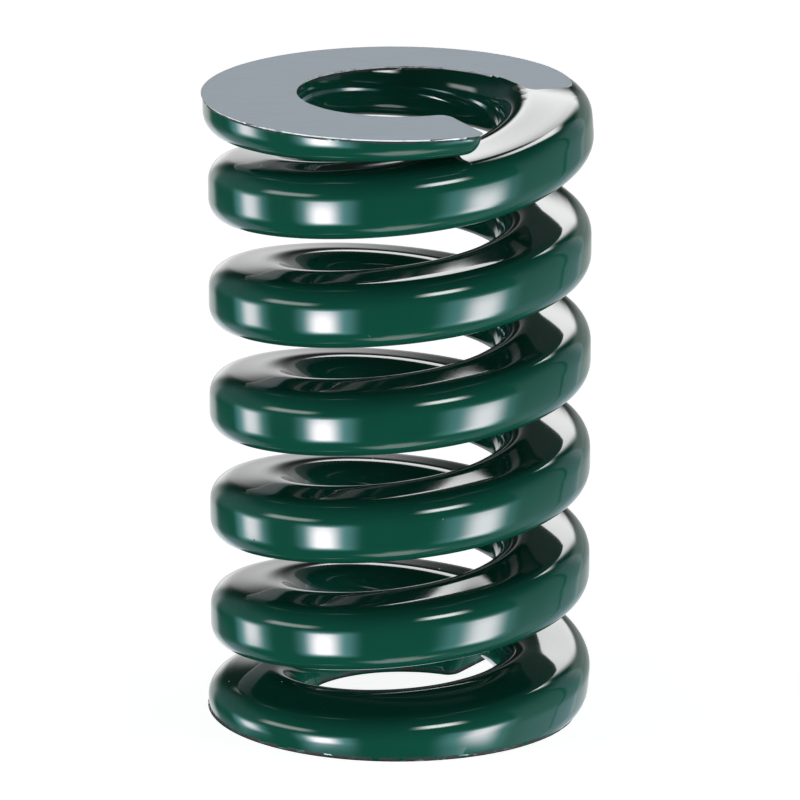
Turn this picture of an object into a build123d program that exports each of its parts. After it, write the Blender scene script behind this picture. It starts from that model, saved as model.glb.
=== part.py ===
from build123d import *
import os
from math import atan2, cos, degrees, radians, sin, tan

os.makedirs("parts", exist_ok=True)

# Die spring: one length of keystone-section spring-steel wire, coiled right-handed, with the
# end turns closed and both ends ground flat.  Millimetres, +Z along the spring's axis.  The
# origin is on the axis, in the plane of the lower ground end.

# Coil
outer_diameter = 30.0      # over the active turns
bore_diameter = 15.5       # clears a 15 mm guide rod
free_length = 50.0         # between the two ground ends
total_turns = 6.656        # from tip to tip
top_tip_azimuth = -65.0    # where the upper tip ends, seen from above, in degrees from +X

# Wire: wider than it is high, and higher on the bore side, where coiling has squeezed it
outer_height = 4.8         # height of the section where it meets the outside diameter
bore_height = 6.2          # height of the section where it meets the bore
outer_corner = 1.85        # corner radii of the drawn wire
bore_corner = 2.65

# Closed ends
top_tip_thickness = 1.6    # what grinding leaves of the wire at its tips, at the outside
bottom_tip_thickness = 1.35
tip_gap = 0.1              # clearance between a tip and the turn that it lies on
tip_rounding = 0.9         # radius round the wire's cut end
closed_pitch = 4.45        # pitch of an end turn, from its tip to the bend that closes it
closing_angle = 285.0      # degrees from a tip to the start of that bend, which ends at 360
top_roll = 2.0             # how far the wire rolls over in each end turn, in degrees, so that
bottom_roll = 11.0         # its outer side leans towards the end of the spring
rolled_angle = 195.0       # degrees from a tip to the place where it is rolled over furthest
roll_angle = 190.0         # degrees over which it rolls over, and then rolls back
top_flare = 0.5            # how far the end turns stand out from the active ones, at the tip
bottom_flare = 0.2
flare_angle = 400.0        # degrees from a tip over which the flare dies away

# The coil is ruled between many-sided sections, which keeps it light: its flats lie within
# 0.15 mm of the round wire and the round turn.
sections_per_turn = 25
outer_facets = 2           # flats on each rounded corner
bore_facets = 3
tip_facets = 3             # and on the rounding of each cut end
grinding_depth = 10.0      # height of the blocks that take off each end

outer_radius = outer_diameter / 2
bore_radius = bore_diameter / 2
wire_width = outer_radius - bore_radius
mean_radius = (outer_radius + bore_radius) / 2
face_slope = atan2((bore_height - outer_height) / 2, wire_width)


def corner_radius(corner, height):
    """A corner's radius, limited by the sides that it lies between."""
    return min(corner, 0.49 * height, 0.49 * wire_width)


def corner_points(corner, start, facets, inset):
    """Points on an upper corner, from the side that faces start (0 outwards, 180 to the bore)."""
    x = (wire_width / 2 - corner) * cos(radians(start))
    upper_face = (outer_height + bore_height) / 4 - x * tan(face_slope)
    centre = Vector(x, upper_face - corner / cos(face_slope))
    turn = 90 - degrees(face_slope) - start
    return [centre + Vector(corner - inset, 0).rotate(Axis.Z, start + turn * i / facets)
            for i in range(facets + 1)]


def upper_half(inset):
    """The upper half of the drawn wire's keystone section, from its outer to its bore side.

    Local X is outwards and local Y up the spring.  The whole outline is moved in by inset.
    """
    outer_points = corner_points(outer_rounding, 0, outer_facets, inset)
    bore_points = corner_points(bore_rounding, 180, bore_facets, inset)
    return outer_points + bore_points[::-1]


def wire_section(inset=0.0):
    """The keystone section, the same above and below."""
    lower_half = [Vector(point.X, -point.Y) for point in reversed(upper_half(inset))]
    return make_face(Polyline(*upper_half(inset), *lower_half, close=True))


outer_rounding = corner_radius(outer_corner, outer_height)
bore_rounding = corner_radius(bore_corner, bore_height)
crest_height = 2 * max(point.Y for point in upper_half(0.0))


def ease(t):
    """0 before 0, 1 after 1, and a smooth rise between."""
    t = min(max(t, 0.0), 1.0)
    return t * t * (3 - 2 * t)


# The first turn from a tip falls by the wire's own height and the gap.  The other turns share
# out the rest of the length, and are the active ones.
top_offset = outer_height / 2 - top_tip_thickness   # wire's centre beyond the ground face, at a tip
bottom_offset = outer_height / 2 - bottom_tip_thickness
end_turn_fall = crest_height + tip_gap
active_length = free_length + top_offset + bottom_offset - 2 * end_turn_fall
active_pitch = active_length / (total_turns - 2)
wire_angle = 360 * total_turns

# The wire rolls over about the rounding of its bore side, which stays where the mandrel was.
roll_axis = wire_width / 2 - bore_rounding          # from the middle of the section inwards


def fall_from_tip(angle):
    """How far the wire's centre has moved along the axis, angle degrees after a tip."""
    if angle <= closing_angle:
        return closed_pitch * angle / 360
    if angle >= 360:
        return end_turn_fall + active_pitch * (angle - 360) / 360
    bend = (360 - closing_angle) / 360
    t = (angle / 360 - 1) / bend + 1
    start = closed_pitch * (1 - bend)
    leaving = closed_pitch * bend * t * (1 - t) ** 2
    joining = active_pitch * bend * t * t * (t - 1)
    return start + (end_turn_fall - start) * ease(t) + leaving + joining


def roll_share(angle):
    """How much of an end turn's roll the wire has, from 0 to 1, angle degrees after a tip."""
    return 1 - ease(abs(angle - rolled_angle) / roll_angle)


def wire_place(angle):
    """Where the middle of the wire's section is, angle degrees down from the upper tip."""
    to_bottom = wire_angle - angle
    if angle < to_bottom:
        height = free_length + top_offset - fall_from_tip(angle)
    else:
        height = fall_from_tip(to_bottom) - bottom_offset
    flare = top_flare * (1 - ease(angle / flare_angle))
    flare += bottom_flare * (1 - ease(to_bottom / flare_angle))
    azimuth = radians(top_tip_azimuth - angle)
    outwards = Vector(cos(azimuth), sin(azimuth), 0)
    along = Vector(sin(azimuth), -cos(azimuth), 0)
    axis = outwards * (mean_radius + flare - roll_axis) + Vector(0, 0, height)
    upright = Plane(origin=axis, x_dir=outwards, z_dir=along)
    roll = top_roll * roll_share(angle) - bottom_roll * roll_share(to_bottom)
    return upright.rotated((0, 0, roll)).location * Pos(roll_axis, 0, 0)


def section_places():
    """Each section's angle down from the upper tip, and how far its outline is moved in."""
    rounding = min(tip_rounding, 0.9 * outer_rounding, 0.9 * bore_rounding)
    turns = [radians(90 * i / tip_facets) for i in range(tip_facets)]
    tip = [(degrees(rounding * (1 - cos(turn)) / mean_radius), rounding * (1 - sin(turn)))
           for turn in turns]
    start = degrees(rounding / mean_radius)
    steps = round(total_turns * sections_per_turn)
    step = (wire_angle - 2 * start) / steps
    coil = [(start + step * i, 0.0) for i in range(steps + 1)]
    return tip + coil + [(wire_angle - angle, inset) for angle, inset in reversed(tip)]


def coiled_wire():
    """The wire as it leaves the coiler, with its cut ends rounded, before grinding."""
    return loft([wire_place(angle) * wire_section(inset) for angle, inset in section_places()],
                ruled=True)


def ground(coil):
    """The coil with both ends ground flat, square to the axis and a free length apart."""
    wheel = outer_diameter + 2 * wire_width
    block = Box(wheel, wheel, grinding_depth, align=(Align.CENTER, Align.CENTER, Align.MIN))
    return coil - Pos(0, 0, free_length) * block - Pos(0, 0, -grinding_depth) * block


die_spring = ground(coiled_wire())
export_step(die_spring, "parts/die_spring.step")
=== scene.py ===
import bmesh
import bpy
from math import atan, cos, degrees, pi, radians, sin, tan
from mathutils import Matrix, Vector


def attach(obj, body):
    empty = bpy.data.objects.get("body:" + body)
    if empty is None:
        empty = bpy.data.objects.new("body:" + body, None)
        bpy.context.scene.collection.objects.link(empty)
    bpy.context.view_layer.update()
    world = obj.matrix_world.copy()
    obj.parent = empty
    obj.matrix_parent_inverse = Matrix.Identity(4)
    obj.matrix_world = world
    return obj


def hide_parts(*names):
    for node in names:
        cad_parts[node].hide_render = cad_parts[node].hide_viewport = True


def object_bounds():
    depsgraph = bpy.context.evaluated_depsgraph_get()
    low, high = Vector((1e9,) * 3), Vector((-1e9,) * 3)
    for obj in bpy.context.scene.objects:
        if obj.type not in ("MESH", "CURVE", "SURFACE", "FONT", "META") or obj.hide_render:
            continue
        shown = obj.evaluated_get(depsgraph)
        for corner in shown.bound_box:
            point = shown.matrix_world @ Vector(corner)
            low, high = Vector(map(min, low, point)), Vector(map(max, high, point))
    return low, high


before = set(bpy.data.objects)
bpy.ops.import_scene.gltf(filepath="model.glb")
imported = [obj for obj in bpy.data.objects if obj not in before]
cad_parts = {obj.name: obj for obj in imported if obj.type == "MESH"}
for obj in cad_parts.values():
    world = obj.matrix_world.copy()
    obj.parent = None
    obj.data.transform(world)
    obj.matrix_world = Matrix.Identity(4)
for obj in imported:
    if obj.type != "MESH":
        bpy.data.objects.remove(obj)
cad_low, cad_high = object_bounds()

# --- The spring ---------------------------------------------------------------------------
# A die spring: one length of keystone-section spring-steel wire, coiled right-handed round a
# mandrel, with its end turns closed.  It is enamelled, and then both ends are ground flat.
MM = 0.001
outer_radius = 15.0 * MM
bore_radius = 7.75 * MM
free_length = 50.0 * MM
total_turns = 6.656
top_tip_azimuth = -65.0
outer_height = 4.8 * MM
bore_height = 6.2 * MM
outer_corner = 1.85 * MM
bore_corner = 2.65 * MM
top_tip_thickness = 1.6 * MM
bottom_tip_thickness = 1.35 * MM
tip_gap = 0.1 * MM
tip_rounding = 0.9 * MM
closed_pitch = 4.45 * MM
closing_angle = 285.0
# Coiling rolls the end turns over, most at one angle from the tip and less for a span each way.
top_roll, top_rolled_most_at, top_roll_span = 4.5, 290.0, 100.0
bottom_roll, bottom_rolled_most_at, bottom_roll_span = 11.0, 195.0, 190.0
top_flare = 0.5 * MM
bottom_flare = 0.2 * MM
flare_angle = 400.0
rings_per_turn = 240
corner_steps = 8
side_steps = 2
face_steps = 5
tip_steps = 7

wire_width = outer_radius - bore_radius
mean_radius = (outer_radius + bore_radius) / 2
face_slope = atan((bore_height - outer_height) / 2 / wire_width)


def rounded_corner(corner, start):
    """Points and normals of an upper corner, from the side that faces start to the upper face."""
    x = (wire_width / 2 - corner) * cos(start)
    upper_face = (outer_height + bore_height) / 4 - x * tan(face_slope)
    z = upper_face - corner / cos(face_slope)
    turn = pi / 2 - face_slope - start
    normals = [start + turn * i / corner_steps for i in range(corner_steps + 1)]
    return [(x + corner * cos(a), z + corner * sin(a), cos(a), sin(a)) for a in normals]


def between(first, last, steps):
    """Evenly spaced points on the flat from one corner to the next, without its ends."""
    return [tuple(a + (b - a) * i / steps for a, b in zip(first, last)) for i in range(1, steps)]


outer_arc = rounded_corner(outer_corner, 0.0)
bore_arc = rounded_corner(bore_corner, pi)[::-1]
upper_half = outer_arc + between(outer_arc[-1], bore_arc[0], face_steps) + bore_arc
lower_half = [(x, -z, nx, -nz) for x, z, nx, nz in reversed(upper_half)]
wire_section = (upper_half + between(upper_half[-1], lower_half[0], side_steps)
                + lower_half + between(lower_half[-1], upper_half[0], side_steps))
crest_height = 2 * max(z for x, z, nx, nz in bore_arc)


def ease(t):
    """0 before 0, 1 after 1, and a smooth rise between."""
    t = min(max(t, 0.0), 1.0)
    return t * t * (3 - 2 * t)


top_offset = outer_height / 2 - top_tip_thickness
bottom_offset = outer_height / 2 - bottom_tip_thickness
end_turn_fall = crest_height + tip_gap
active_length = free_length + top_offset + bottom_offset - 2 * end_turn_fall
active_pitch = active_length / (total_turns - 2)
wire_angle = 360 * total_turns


def fall_from_tip(angle):
    """How far the wire's centre has moved along the axis, angle degrees after a tip."""
    if angle <= closing_angle:
        return closed_pitch * angle / 360
    if angle >= 360:
        return end_turn_fall + active_pitch * (angle - 360) / 360
    bend = (360 - closing_angle) / 360
    t = (angle / 360 - 1) / bend + 1
    start = closed_pitch * (1 - bend)
    leaving = closed_pitch * bend * t * (1 - t) ** 2
    joining = active_pitch * bend * t * t * (t - 1)
    return start + (end_turn_fall - start) * ease(t) + leaving + joining


def wire_ring(angle, inset):
    """The section's points, angle degrees down from the upper tip, moved in by inset."""
    to_bottom = wire_angle - angle
    if angle < to_bottom:
        height = free_length + top_offset - fall_from_tip(angle)
    else:
        height = fall_from_tip(to_bottom) - bottom_offset
    radius = mean_radius + top_flare * (1 - ease(angle / flare_angle))
    radius += bottom_flare * (1 - ease(to_bottom / flare_angle))
    azimuth = radians(top_tip_azimuth - angle)
    roll = top_roll * (1 - ease(abs(angle - top_rolled_most_at) / top_roll_span))
    roll -= bottom_roll * (1 - ease(abs(to_bottom - bottom_rolled_most_at) / bottom_roll_span))
    roll = radians(roll)
    pivot = bore_corner - wire_width / 2
    points = []
    for x, z, nx, nz in wire_section:
        x, z = x - inset * nx - pivot, z - inset * nz
        out = radius + pivot + x * cos(roll) - z * sin(roll)
        points.append((out * cos(azimuth), out * sin(azimuth),
                       height + x * sin(roll) + z * cos(roll)))
    return points


# The cut ends are rounded over: rings there close in towards the flat of the cut.
tip_rings = []
for i in range(tip_steps + 1):
    turn = pi / 2 * i / tip_steps
    along = degrees(tip_rounding * (1 - cos(turn)) / mean_radius)
    tip_rings.append((along, tip_rounding * (1 - sin(turn))))
coil_start = tip_rings[-1][0]
steps = round(total_turns * rings_per_turn)
coil_rings = [coil_start + (wire_angle - 2 * coil_start) * i / steps for i in range(steps + 1)]
rings = [wire_ring(angle, inset) for angle, inset in tip_rings[:-1]]
rings += [wire_ring(angle, 0.0) for angle in coil_rings]
rings += [wire_ring(wire_angle - angle, inset) for angle, inset in reversed(tip_rings[:-1])]

coil = bmesh.new()
loops = [[coil.verts.new(point) for point in ring] for ring in rings]
for this, following in zip(loops, loops[1:]):
    for i in range(len(this)):
        j = (i + 1) % len(this)
        coil.faces.new((this[i], following[i], following[j], this[j]))
coil.faces.new(loops[0])
coil.faces.new(loops[-1][::-1])

# Each end is ground square to the axis.  Where the wheel leaves the wire's side it breaks the
# edge, which shows bare at the upper end, with painted glints.  At the lower end the broken edge
# takes the lip's near-black finish, a painted shadow line along the edge that faces down.  The
# lip beside each edge, near black in short stretches, is a band with a finish of its own, and no
# relief.  Neither follows the wheel out over the wire's flat side: they end where a face's normal
# is more upright than its run-out says.
closeness = 1e-7
broken_edge = 0.13 * MM
lip_depth = 0.16 * MM
edge_run_out, lip_run_out = 0.73, 0.5
ENAMEL, GROUND, EDGE, LIP = 0, 1, 2, 3
for level, upwards in ((free_length, 1), (0.0, -1)):
    for depth in (broken_edge + lip_depth, broken_edge, 0.0):
        bmesh.ops.bisect_plane(
            coil, geom=coil.verts[:] + coil.edges[:] + coil.faces[:], dist=closeness,
            plane_co=(0, 0, level - upwards * depth), plane_no=(0, 0, upwards),
            clear_outer=depth == 0.0)
    rim = [edge for edge in coil.edges if edge.is_boundary]
    outwards = {}
    for edge in rim:
        side = edge.link_faces[0]
        side.normal_update()
        for corner in edge.verts:
            facing = outwards.get(corner, Vector())
            outwards[corner] = facing + Vector((side.normal.x, side.normal.y, 0)) / 2
    for corner, facing in outwards.items():
        corner.co -= facing * broken_edge
    for face in bmesh.ops.edgeloop_fill(coil, edges=rim)["faces"]:
        face.material_index = GROUND
    for face in coil.faces:
        depth = (level - face.calc_center_median().z) * upwards
        flatness = abs(face.normal.z)
        if face.material_index == ENAMEL and depth < broken_edge and flatness < edge_run_out:
            # The lower end's edge takes the lip's near-black finish: a painted shadow line.
            face.material_index = EDGE if upwards > 0 else LIP
        elif (face.material_index == ENAMEL and flatness < lip_run_out
              and broken_edge <= depth < broken_edge + lip_depth):
            face.material_index = LIP
bmesh.ops.recalc_face_normals(coil, faces=coil.faces[:])
for face in coil.faces:
    face.smooth = face.material_index != GROUND
for edge in coil.edges:
    if {face.material_index for face in edge.link_faces} & {GROUND, EDGE} == {GROUND, EDGE}:
        edge.smooth = False
spring_mesh = bpy.data.meshes.new("die_spring_coil")
coil.to_mesh(spring_mesh)
coil.free()
spring = bpy.data.objects.new("coiled_keystone_wire", spring_mesh)
bpy.context.scene.collection.objects.link(spring)
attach(spring, "root")
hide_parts("die_spring")


def linear(hex_colour):
    """An sRGB hex colour as linear RGBA."""
    channels = [int(hex_colour[i:i + 2], 16) / 255 for i in (1, 3, 5)]
    return [c / 12.92 if c <= 0.04045 else ((c + 0.055) / 1.055) ** 2.4 for c in channels] + [1]


def add_node(tree, kind, settings=None, sockets=None):
    """Adds a node.  Each named or numbered socket gets a value, or a link from an output.

    A Mix node's colours are its sockets 6 and 7, and its output 2.
    """
    node = tree.nodes.new(kind)
    for name, value in (settings or {}).items():
        setattr(node, name, value)
    for socket, value in (sockets or {}).items():
        if isinstance(value, bpy.types.NodeSocket):
            tree.links.new(value, node.inputs[socket])
        else:
            node.inputs[socket].default_value = value
    return node


def finish_with(mesh, name):
    """Adds a new material to a mesh.  Gives its node tree and its Principled shader."""
    material = bpy.data.materials.new(name)
    mesh.materials.append(material)
    material.use_nodes = True
    tree = material.node_tree
    tree.nodes.clear()
    shader = add_node(tree, "ShaderNodeBsdfPrincipled")
    add_node(tree, "ShaderNodeOutputMaterial", sockets={"Surface": shader.outputs[0]})
    return tree, shader


# Stoved enamel, sprayed on and baked: a thin dark-green film that flowed out almost like glass,
# so that it shows sharp reflections, with a faint orange peel and a few dust nibs.
enamel_thick, enamel_thin = "#0A3E31", "#0E4638"
flow_length = 5 * MM
peel_length, peel_height = 1.4 * MM, 0.0006 * MM
nib_spacing, nib_radius, nib_height = 2.6 * MM, 0.1 * MM, 0.02 * MM
enamel_roughness, enamel_ior = 0.06, 1.5
tree, shader = finish_with(spring_mesh, "stoved_green_enamel")
place = add_node(tree, "ShaderNodeTexCoord").outputs["Object"]
flow = add_node(tree, "ShaderNodeTexNoise", sockets={
    "Vector": place, "Scale": 1 / flow_length, "Detail": 2.0})
film = add_node(tree, "ShaderNodeMix", {"data_type": "RGBA"}, {
    "Factor": flow.outputs["Fac"], 6: linear(enamel_thick), 7: linear(enamel_thin)})
peel = add_node(tree, "ShaderNodeTexNoise", sockets={
    "Vector": place, "Scale": 1 / peel_length, "Detail": 1.0})
flowed = add_node(tree, "ShaderNodeBump", sockets={
    "Height": peel.outputs["Fac"], "Strength": 1.0, "Distance": peel_height})
nibs = add_node(tree, "ShaderNodeTexVoronoi", sockets={"Vector": place, "Scale": 1 / nib_spacing})
nib = add_node(tree, "ShaderNodeMapRange", sockets={
    "Value": nibs.outputs["Distance"], "From Min": nib_radius / nib_spacing, "From Max": 0.0})
skin = add_node(tree, "ShaderNodeBump", sockets={
    "Height": nib.outputs[0], "Strength": 1.0, "Distance": nib_height,
    "Normal": flowed.outputs[0]})
tree.links.new(film.outputs[2], shader.inputs["Base Color"])
tree.links.new(skin.outputs[0], shader.inputs["Normal"])
shader.inputs["Roughness"].default_value = enamel_roughness
shader.inputs["IOR"].default_value = enamel_ior

# Spring steel straight from a face-grinding wheel: satin and a cool grey, with a fine grain of
# long scratches.  The real ones are finer, and are drawn as coarse as they need to show.  The
# colour is written darker than the real steel's, because the light that gloss sees is strong.
steel_dark, steel_light = "#5C646B", "#6C767D"
steel_roughness = 0.5
scratch_length, scratch_width, scratch_depth = 3.0 * MM, 0.1 * MM, 0.0012 * MM
wheel_direction = radians(8)
tree, shader = finish_with(spring_mesh, "ground_spring_steel")
place = add_node(tree, "ShaderNodeTexCoord").outputs["Object"]
along_wheel = add_node(tree, "ShaderNodeMapping", sockets={
    "Vector": place, "Rotation": (0, 0, wheel_direction),
    "Scale": (1 / scratch_length, 1 / scratch_width, 1 / scratch_length)})
scratches = add_node(tree, "ShaderNodeTexNoise", sockets={
    "Vector": along_wheel.outputs[0], "Scale": 1.0, "Detail": 3.0})
grain = add_node(tree, "ShaderNodeMix", {"data_type": "RGBA"}, {
    "Factor": scratches.outputs["Fac"], 6: linear(steel_dark), 7: linear(steel_light)})
relief = add_node(tree, "ShaderNodeBump", sockets={
    "Height": scratches.outputs["Fac"], "Strength": 1.0, "Distance": scratch_depth})
tree.links.new(grain.outputs[2], shader.inputs["Base Color"])
tree.links.new(relief.outputs[0], shader.inputs["Normal"])
shader.inputs["Metallic"].default_value = 1.0
shader.inputs["Roughness"].default_value = steel_roughness

# The broken edge at the upper end: bare rough steel, pale, with painted glints.  Noise mixes its
# colour between a pale painted highlight and duller stretches, so that it shows as a thin bright
# line.  It is drawn only part metallic, so that it stays pale where it mirrors none of the boxes,
# which paints the bright line into its colour.
edge_bare_and_glint, edge_dull = "#E8ECEE", "#8B9298"
edge_metallic, edge_roughness = 0.4, 0.6
painted_glint_length = 0.9 * MM
dull_below, bright_above = 0.35, 0.5
tree, shader = finish_with(spring_mesh, "broken_steel_edge")
place = add_node(tree, "ShaderNodeTexCoord").outputs["Object"]
# Noise that paints the edge's glints, as stretches of the pale colour.
painted_glint_noise = add_node(tree, "ShaderNodeTexNoise", sockets={
    "Vector": place, "Scale": 1 / painted_glint_length, "Detail": 3.0})
painted_glint_mask = add_node(tree, "ShaderNodeMapRange", sockets={
    "Value": painted_glint_noise.outputs["Fac"], "From Min": dull_below, "From Max": bright_above})
bare = add_node(tree, "ShaderNodeMix", {"data_type": "RGBA"}, {
    "Factor": painted_glint_mask.outputs[0], 6: linear(edge_dull), 7: linear(edge_bare_and_glint)})
tree.links.new(bare.outputs[2], shader.inputs["Base Color"])
shader.inputs["Metallic"].default_value = edge_metallic
shader.inputs["Roughness"].default_value = edge_roughness

# The enamel's lip beside a ground edge: near black and matt in short stretches, glossy green
# between.  The lower end's broken edge has this finish too, where its near black paints a shadow
# line.
near_black_and_painted_shade = "#05110E"
dark_stretch_length = 0.8 * MM
dark_below, glossy_above = 0.55, 0.61
glossy_lip_roughness, dark_roughness = 0.05, 0.7
tree, shader = finish_with(spring_mesh, "dark_enamel_lip_and_painted_shade")
place = add_node(tree, "ShaderNodeTexCoord").outputs["Object"]
dark_stretch_noise = add_node(tree, "ShaderNodeTexNoise", sockets={
    "Vector": place, "Scale": 1 / dark_stretch_length, "Detail": 2.0})
dark_stretch_mask = add_node(tree, "ShaderNodeMapRange", sockets={
    "Value": dark_stretch_noise.outputs["Fac"], "From Min": glossy_above, "From Max": dark_below})
# Near black in the dark stretches; on the lower end's edge this paints a shadow line.
lip = add_node(tree, "ShaderNodeMix", {"data_type": "RGBA"}, {
    "Factor": dark_stretch_mask.outputs[0], 6: linear(enamel_thick), 7: linear(near_black_and_painted_shade)})
dulled = add_node(tree, "ShaderNodeMapRange", sockets={
    "Value": dark_stretch_mask.outputs[0], "To Min": glossy_lip_roughness, "To Max": dark_roughness})
tree.links.new(lip.outputs[2], shader.inputs["Base Color"])
tree.links.new(dulled.outputs[0], shader.inputs["Roughness"])
shader.inputs["IOR"].default_value = enamel_ior

# --- Floor --------------------------------------------------------------------------------
# A wide sheet of matt white paper under the spring, which glows as on a light table.  Only the
# camera sees it: gloss and matt light pass it by.  It is so bright that hardly a trace of the
# spring's shadow shows on it.
floor_size = 3.0
under_spring = 0.02 * MM
paper_white = "#D0D0D0"
paper_roughness = 0.9
paper_glow = 0.9
half = floor_size / 2
floor_mesh = bpy.data.meshes.new("floor")
floor_mesh.from_pydata([(-half, -half, 0), (half, -half, 0), (half, half, 0), (-half, half, 0)],
                       [], [(0, 1, 2, 3)])
floor = bpy.data.objects.new("floor", floor_mesh)
bpy.context.scene.collection.objects.link(floor)
floor.location.z = cad_low[2] - under_spring
tree, shader = finish_with(floor_mesh, "white_paper")
shader.inputs["Base Color"].default_value = linear(paper_white)
shader.inputs["Roughness"].default_value = paper_roughness
shader.inputs["Specular IOR Level"].default_value = 0.0
shader.inputs["Emission Color"].default_value = (1, 1, 1, 1)
shader.inputs["Emission Strength"].default_value = paper_glow
floor.visible_glossy = False
floor.visible_diffuse = False
floor.visible_shadow = False

# --- Studio light -------------------------------------------------------------------------
# Three lights in one world, set for this one view and not as a plain studio.  Matt surfaces get
# low boxes, which hardly light a face that looks up.  Gloss sees a dark room with boxes of its
# own, up to 27 times as bright as white.  The camera sees plain white.
world = bpy.data.worlds.new("studio")
bpy.context.scene.world = world
world.use_nodes = True
sky = world.node_tree
sky.nodes.clear()
direction = add_node(sky, "ShaderNodeTexCoord").outputs["Generated"]
axes = add_node(sky, "ShaderNodeSeparateXYZ", sockets={"Vector": direction}).outputs
azimuth = add_node(sky, "ShaderNodeMath", {"operation": "ARCTAN2"}, {0: axes["X"], 1: axes["Y"]})
elevation = add_node(sky, "ShaderNodeMath", {"operation": "ARCSINE"}, {0: axes["Z"]})


def lit_band(angle, centre, width, fade):
    """1 over a width about a centre, fading to 0 at each edge.  All of it is in degrees."""
    offset = add_node(sky, "ShaderNodeMath", {"operation": "SUBTRACT"}, {
        0: angle.outputs[0], 1: radians(centre)})
    nearest = add_node(sky, "ShaderNodeMath", {"operation": "WRAP"}, {
        0: offset.outputs[0], 1: pi, 2: -pi})
    distance = add_node(sky, "ShaderNodeMath", {"operation": "ABSOLUTE"}, {0: nearest.outputs[0]})
    band = add_node(sky, "ShaderNodeMapRange", {"interpolation_type": "SMOOTHERSTEP"}, {
        "Value": distance.outputs[0], "From Min": radians((width + fade) / 2),
        "From Max": radians((width - fade) / 2)})
    return band.outputs[0]


def soft_boxes(level_between, boxes):
    """The level of light from each direction.  A box is seen at a bearing, which counts from
    the back round to the right, and at a height.  It has a width, a tallness and their fades."""
    total = level_between
    for bearing, width, side_fade, height, tallness, end_fade, level in boxes:
        lit = add_node(sky, "ShaderNodeMath", {"operation": "MULTIPLY"}, {
            0: lit_band(azimuth, bearing, width, side_fade),
            1: lit_band(elevation, height, tallness, end_fade)})
        sum_so_far = add_node(sky, "ShaderNodeMath", {"operation": "MULTIPLY_ADD"}, {
            0: lit.outputs[0], 1: level, 2: total})
        total = sum_so_far.outputs[0]
    return total


# The light on matt surfaces: a faint level all round, and white boxes at both sides.
matt_level_between = 0.06
matt_light = soft_boxes(matt_level_between, [
    (-130, 19, 18, -18, 26, 10, 17),
    (124, 22, 21, -18, 30, 10, 15),
    (-100, 40, 30, 0, 40, 20, 4.4),
    (98, 40, 30, 0, 40, 20, 4.6),
    (5, 80, 30, -10, 60, 20, 0.9)])

# What gloss sees.  Two boxes in front and one at the left draw the bright bars on the turns.
# The glow round each is blue-green, of no known cause, and the boxes are faintly pink to balance
# it.  The white boxes are the pale sheet behind the spring, with lamps above it, below it and at
# one side.  The walls of the room are cooler and dimmer.
gloss_level_between = 0.02
front_boxes = soft_boxes(0.0, [
    (-132.8, 15.8, 15.5, -20, 20, 16, 25),
    (-78.5, 13, 12.9, -14.5, 15, 13, 9),
    (127.5, 19.5, 19.4, -22, 24, 14, 14.5)])
box_glow = soft_boxes(0.0, [
    (-134.5, 34, 18, -20, 32, 20, 4.6),
    (-78, 28, 14, -14.5, 24, 16, 2.4),
    (131, 42, 24, -22, 34, 20, 3.5)])
white_boxes = soft_boxes(gloss_level_between, [
    (156.5, 25, 20, 37.5, 13, 8, 18),
    (-106, 34, 16, 14, 11, 9, 5),
    (5.5, 75, 12, -16, 42, 22, 0.6),
    (-20, 28, 16, -16, 42, 22, 0.26),
    (-8, 14, 12, 0, 14, 10, 0.8),
    (4, 38, 20, 37, 26, 8, 5.2),
    (33, 20, 12, 55, 20, 10, 11),
    (30, 34, 20, 16, 22, 14, 0.55),
    (170, 80, 40, -74, 20, 12, 2.5),
    (172, 30, 12, -62, 12, 10, 1.5)])
room_walls = soft_boxes(0.0, [
    (52, 24, 4, -4, 80, 20, 0.56),
    (88, 42, 4, -16, 100, 40, 0.42),
    (30, 150, 50, -31, 24, 18, 0.5),
    (-60, 60, 30, 12, 34, 20, 0.22),
    (-50, 30, 16, -38, 24, 12, 0.5),
    (110, 60, 40, -62, 30, 20, 0.25)])
gloss = None
for colour, level in (("#FFECF1", front_boxes), ("#AEF0FF", box_glow),
                      ("#FFFFFF", white_boxes), ("#D6E6FF", room_walls)):
    part = add_node(sky, "ShaderNodeBackground", sockets={
        "Color": linear(colour), "Strength": level}).outputs[0]
    if gloss is None:
        gloss = part
    else:
        gloss = add_node(sky, "ShaderNodeAddShader", sockets={0: gloss, 1: part}).outputs[0]
rays = add_node(sky, "ShaderNodeLightPath").outputs
matt = add_node(sky, "ShaderNodeBackground", sockets={
    "Color": (1, 1, 1, 1), "Strength": matt_light})
light = add_node(sky, "ShaderNodeMixShader", sockets={
    0: rays["Is Glossy Ray"], 1: matt.outputs[0], 2: gloss})
# The camera sees the plain white room beyond the floor.
white_room = add_node(sky, "ShaderNodeBackground", sockets={
    "Color": (1, 1, 1, 1), "Strength": 1.0})
seen = add_node(sky, "ShaderNodeMixShader", sockets={
    0: rays["Is Camera Ray"], 1: light.outputs[0], 2: white_room.outputs[0]})
add_node(sky, "ShaderNodeOutputWorld", sockets={"Surface": seen.outputs[0]})

# --- Camera -------------------------------------------------------------------------------
# A long lens two thirds of a metre off and raised by 16 degrees, which looks at the spring's
# middle and takes in its whole height.
camera_distance = 0.653
camera_elevation = radians(15.9)
view_height = 63.0 * MM
middle = Vector((0, 0, free_length / 2))
lens = bpy.data.cameras.new("camera")
lens.lens = lens.sensor_width * camera_distance / view_height
camera = bpy.data.objects.new("camera", lens)
bpy.context.scene.collection.objects.link(camera)
from_middle = Vector((0, -cos(camera_elevation), sin(camera_elevation)))
camera.location = middle + camera_distance * from_middle
camera.rotation_euler = (pi / 2 - camera_elevation, 0, 0)
bpy.context.scene.camera = camera
bpy.context.scene.view_settings.view_transform = "Standard"
